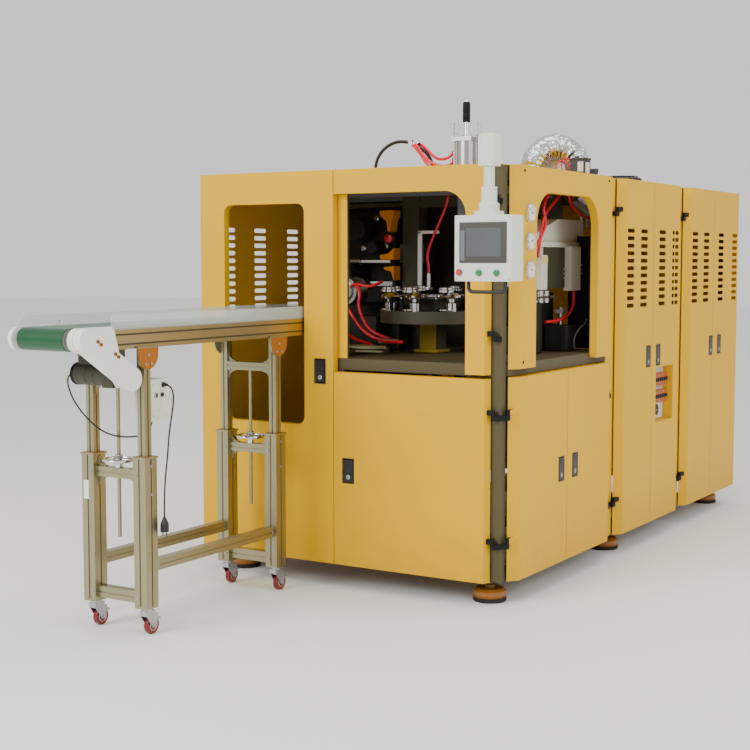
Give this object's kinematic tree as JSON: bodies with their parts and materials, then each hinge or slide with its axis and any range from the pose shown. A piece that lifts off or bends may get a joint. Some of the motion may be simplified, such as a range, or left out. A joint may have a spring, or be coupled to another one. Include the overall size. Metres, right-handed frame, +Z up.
{
  "type": "blow moulding machine",
  "caption": "Enclosed bottle blow moulding machine with hinged service doors, a rotary table inside, a swing-arm control panel and a height-adjustable outfeed belt conveyor on castors.",
  "frame": {"origin": "on the floor at the centre of the front corner levelling foot", "axes": "+Z up, +Y along the machine's length away from the operator, +X out of the service side"},
  "size_m": [1.866, 4.975, 2.36],
  "materials": {
    "frame_paint": "grey-brown paint",
    "yellow_paint": "textured yellow powder coat",
    "black_paint": "black",
    "foot_paint": "brown-orange paint on a rubber base",
    "chrome": "bright",
    "machined_steel": "machined",
    "dark_casting": "dark olive paint",
    "oven_white": "cream white",
    "foil": "crumpled foil",
    "panel_white": "light grey powder coat",
    "grip_black": "matt",
    "button_red": "gloss",
    "button_green": "gloss",
    "profile_aluminium": "anodised",
    "belt_green": "satin",
    "guard_white": "matt",
    "motor_grey": "dark grey enamel",
    "acrylic": "clear",
    "castor_steel": "zinc plated",
    "castor_red": "polyurethane",
    "cable_black": "matt"
  },
  "bodies": {
    "cabinet": {"base_frame": "frame_paint", "fixed_panels": "yellow_paint", "hinge_blocks": "black_paint", "service_window_panel": "yellow_paint", "levelling_feet": "foot_paint", "pressure_gauges": "chrome", "press_frame": "dark_casting", "press_cylinder": "machined_steel", "oven_box": "oven_white", "foil_duct": "foil", "left_door": "yellow_paint", "roof_cable": "cable_black"},
    "table": {"rotary_table": "dark_casting", "bottle_holders": "chrome"},
    "ram": {"press_ram": "chrome"},
    "upper_door": {"upper_front_door": "yellow_paint"},
    "lower_door": {"lower_front_door": "yellow_paint"},
    "arm": {"hmi_arm": "panel_white"},
    "panel": {"hmi_box": "panel_white", "hmi_handle": "grip_black"},
    "stop_key": {"stop_button": "button_red"},
    "start_key": {"start_button": "button_green"},
    "reset_key": {"reset_button": "button_green"},
    "cart": {"cart_stand": "profile_aluminium"},
    "conveyor": {"lift_frame": "profile_aluminium", "side_rails": "profile_aluminium", "conveyor_belt": "belt_green", "drive_guard": "guard_white", "gear_motor": "motor_grey", "guide_strips": "acrylic", "control_box": "panel_white", "mains_lead": "cable_black", "mains_plug": "cable_black", "motor_lead": "cable_black"},
    "drive_drum": {"drive_roller": "machined_steel"},
    "tail_drum": {"tail_roller": "machined_steel"},
    "front_handwheel": {"handwheel_front": "chrome"},
    "rear_handwheel": {"handwheel_rear": "chrome"},
    "left_latch": {"left_door_latch": "grip_black"},
    "front_latch": {"front_door_latch": "grip_black"},
    "bay_1_left": {"bay_1_door_left": "yellow_paint"},
    "bay_1_latch_left_paddle": {"bay_1_latch_left": "grip_black"},
    "bay_1_right": {"bay_1_door_right": "yellow_paint"},
    "bay_1_latch_right_paddle": {"bay_1_latch_right": "grip_black"},
    "bay_2_left": {"bay_2_door_left": "yellow_paint"},
    "bay_2_latch_left_paddle": {"bay_2_latch_left": "grip_black"},
    "bay_2_right": {"bay_2_door_right": "yellow_paint"},
    "bay_2_latch_right_paddle": {"bay_2_latch_right": "grip_black"},
    "bay_3_left": {"bay_3_door_left": "yellow_paint"},
    "bay_3_latch_left_paddle": {"bay_3_latch_left": "grip_black"},
    "bay_3_right": {"bay_3_door_right": "yellow_paint"},
    "bay_3_latch_right_paddle": {"bay_3_latch_right": "grip_black"},
    "castor_front_left": {"castor_fork_front_left": "castor_steel"},
    "castor_front_left_wheel": {"castor_wheel_front_left": "castor_red"},
    "castor_front_right": {"castor_fork_front_right": "castor_steel"},
    "castor_front_right_wheel": {"castor_wheel_front_right": "castor_red"},
    "castor_rear_left": {"castor_fork_rear_left": "castor_steel"},
    "castor_rear_left_wheel": {"castor_wheel_rear_left": "castor_red"},
    "castor_rear_right": {"castor_fork_rear_right": "castor_steel"},
    "castor_rear_right_wheel": {"castor_wheel_rear_right": "castor_red"}
  },
  "joints": [
    {"name": "upper_front_door_hinge", "type": "hinge", "parent": "cabinet", "child": "upper_door", "pos_m": [0.072, -0.124, 1.5], "axis": [0, 0, 1], "range_deg": [0, 48]},
    {"name": "lower_front_door_hinge", "type": "hinge", "parent": "cabinet", "child": "lower_door", "pos_m": [0.072, -0.124, 0.6], "axis": [0, 0, 1], "range_deg": [0, 90]},
    {"name": "left_latch_lift", "type": "hinge", "parent": "cabinet", "child": "left_latch", "pos_m": [-0.843, -0.1485, 1.092], "axis": [-1, 0, 0], "range_deg": [0, 20], "stiffness_Nm_per_rad": 0.3},
    {"name": "front_latch_lift", "type": "hinge", "parent": "lower_door", "child": "front_latch", "pos_m": [-0.683, -0.1485, 0.62], "axis": [-1, 0, 0], "range_deg": [0, 20], "stiffness_Nm_per_rad": 0.3},
    {"name": "bay_1_door_left_hinge", "type": "hinge", "parent": "cabinet", "child": "bay_1_left", "pos_m": [0.124, -0.072, 0.6], "axis": [0, 0, -1], "range_deg": [0, 90]},
    {"name": "bay_1_latch_left_lift", "type": "hinge", "parent": "bay_1_left", "child": "bay_1_latch_left_paddle", "pos_m": [0.1485, 0.461, 0.618], "axis": [0, -1, 0], "range_deg": [0, 20], "stiffness_Nm_per_rad": 0.3},
    {"name": "bay_1_door_right_hinge", "type": "hinge", "parent": "cabinet", "child": "bay_1_right", "pos_m": [0.122, 1.113, 0.6], "axis": [0, 0, 1], "range_deg": [0, 90]},
    {"name": "bay_1_latch_right_lift", "type": "hinge", "parent": "bay_1_right", "child": "bay_1_latch_right_paddle", "pos_m": [0.1485, 0.624, 0.618], "axis": [0, -1, 0], "range_deg": [0, 20], "stiffness_Nm_per_rad": 0.3},
    {"name": "bay_2_door_left_hinge", "type": "hinge", "parent": "cabinet", "child": "bay_2_left", "pos_m": [0.122, 1.215, 0.6], "axis": [0, 0, -1], "range_deg": [0, 90]},
    {"name": "bay_2_latch_left_lift", "type": "hinge", "parent": "bay_2_left", "child": "bay_2_latch_left_paddle", "pos_m": [0.1485, 1.622, 1.095], "axis": [0, -1, 0], "range_deg": [0, 20], "stiffness_Nm_per_rad": 0.3},
    {"name": "bay_2_door_right_hinge", "type": "hinge", "parent": "cabinet", "child": "bay_2_right", "pos_m": [0.122, 2.161, 0.6], "axis": [0, 0, 1], "range_deg": [0, 90]},
    {"name": "bay_2_latch_right_lift", "type": "hinge", "parent": "bay_2_right", "child": "bay_2_latch_right_paddle", "pos_m": [0.1485, 1.777, 1.095], "axis": [0, -1, 0], "range_deg": [0, 20], "stiffness_Nm_per_rad": 0.3},
    {"name": "bay_3_door_left_hinge", "type": "hinge", "parent": "cabinet", "child": "bay_3_left", "pos_m": [0.122, 2.259, 0.6], "axis": [0, 0, -1], "range_deg": [0, 90]},
    {"name": "bay_3_latch_left_lift", "type": "hinge", "parent": "bay_3_left", "child": "bay_3_latch_left_paddle", "pos_m": [0.1485, 2.705, 1.1], "axis": [0, -1, 0], "range_deg": [0, 20], "stiffness_Nm_per_rad": 0.3},
    {"name": "bay_3_door_right_hinge", "type": "hinge", "parent": "cabinet", "child": "bay_3_right", "pos_m": [0.113, 3.214, 0.6], "axis": [0, 0, 1], "range_deg": [0, 90]},
    {"name": "bay_3_latch_right_lift", "type": "hinge", "parent": "bay_3_right", "child": "bay_3_latch_right_paddle", "pos_m": [0.1485, 2.868, 1.1], "axis": [0, -1, 0], "range_deg": [0, 20], "stiffness_Nm_per_rad": 0.3},
    {"name": "table_turn", "type": "hinge", "parent": "cabinet", "child": "table", "pos_m": [-0.585, 0.5, 1.3], "axis": [0, 0, 1], "continuous": true},
    {"name": "press_stroke", "type": "slide", "parent": "cabinet", "child": "ram", "axis": [0, 0, -1], "range_m": [0, 0.07]},
    {"name": "arm_swing", "type": "hinge", "parent": "cabinet", "child": "arm", "pos_m": [-0.057, 0.08, 2.05], "axis": [0, 0, 1], "range_deg": [-50, 60]},
    {"name": "panel_turn", "type": "hinge", "parent": "arm", "child": "panel", "pos_m": [0.168, -0.365, 1.86], "axis": [0, 0, 1], "range_deg": [-90, 90]},
    {"name": "stop_press", "type": "slide", "parent": "panel", "child": "stop_key", "axis": [0, 1, 0], "range_m": [0, 0.004], "stiffness_N_per_m": 400},
    {"name": "start_press", "type": "slide", "parent": "panel", "child": "start_key", "axis": [0, 1, 0], "range_m": [0, 0.004], "stiffness_N_per_m": 400},
    {"name": "reset_press", "type": "slide", "parent": "panel", "child": "reset_key", "axis": [0, 1, 0], "range_m": [0, 0.004], "stiffness_N_per_m": 400},
    {"name": "cart_roll", "type": "slide", "parent": "cabinet", "child": "cart", "axis": [0, -1, 0], "range_m": [0, 0.6]},
    {"name": "conveyor_lift", "type": "slide", "parent": "cart", "child": "conveyor", "axis": [0, 0, 1], "range_m": [-0.06, 0.06]},
    {"name": "front_handwheel_turn", "type": "hinge", "parent": "cart", "child": "front_handwheel", "pos_m": [-1.1, -1.295, 0.734], "axis": [0, 0, 1], "range_deg": [-2705, 2705]},
    {"name": "rear_handwheel_turn", "type": "hinge", "parent": "cart", "child": "rear_handwheel", "pos_m": [-1.1, -0.365, 0.734], "axis": [0, 0, 1], "range_deg": [-2705, 2705]},
    {"name": "drive_roller_turn", "type": "hinge", "parent": "conveyor", "child": "drive_drum", "pos_m": [-1.1, -1.7, 1.262], "axis": [1, 0, 0], "continuous": true},
    {"name": "tail_roller_turn", "type": "hinge", "parent": "conveyor", "child": "tail_drum", "pos_m": [-1.1, 0.195, 1.262], "axis": [1, 0, 0], "continuous": true},
    {"name": "castor_front_left_swivel", "type": "hinge", "parent": "cart", "child": "castor_front_left", "pos_m": [-1.243, -1.295, 0.1], "axis": [0, 0, 1], "continuous": true},
    {"name": "castor_front_left_roll", "type": "hinge", "parent": "castor_front_left", "child": "castor_front_left_wheel", "pos_m": [-1.243, -1.267, 0.0375], "axis": [1, 0, 0], "continuous": true},
    {"name": "castor_front_right_swivel", "type": "hinge", "parent": "cart", "child": "castor_front_right", "pos_m": [-0.957, -1.295, 0.1], "axis": [0, 0, 1], "continuous": true},
    {"name": "castor_front_right_roll", "type": "hinge", "parent": "castor_front_right", "child": "castor_front_right_wheel", "pos_m": [-0.957, -1.267, 0.0375], "axis": [1, 0, 0], "continuous": true},
    {"name": "castor_rear_left_swivel", "type": "hinge", "parent": "cart", "child": "castor_rear_left", "pos_m": [-1.243, -0.365, 0.1], "axis": [0, 0, 1], "continuous": true},
    {"name": "castor_rear_left_roll", "type": "hinge", "parent": "castor_rear_left", "child": "castor_rear_left_wheel", "pos_m": [-1.243, -0.337, 0.0375], "axis": [1, 0, 0], "continuous": true},
    {"name": "castor_rear_right_swivel", "type": "hinge", "parent": "cart", "child": "castor_rear_right", "pos_m": [-0.957, -0.365, 0.1], "axis": [0, 0, 1], "continuous": true},
    {"name": "castor_rear_right_roll", "type": "hinge", "parent": "castor_rear_right", "child": "castor_rear_right_wheel", "pos_m": [-0.957, -0.337, 0.0375], "axis": [1, 0, 0], "continuous": true}
  ],
  "couplings": [
    {"joint": "front_handwheel_turn", "follows": "conveyor_lift", "rad_per_m": 785.4},
    {"joint": "rear_handwheel_turn", "follows": "conveyor_lift", "rad_per_m": 785.4},
    {"joint": "tail_roller_turn", "follows": "drive_roller_turn", "ratio": 1}
  ]
}
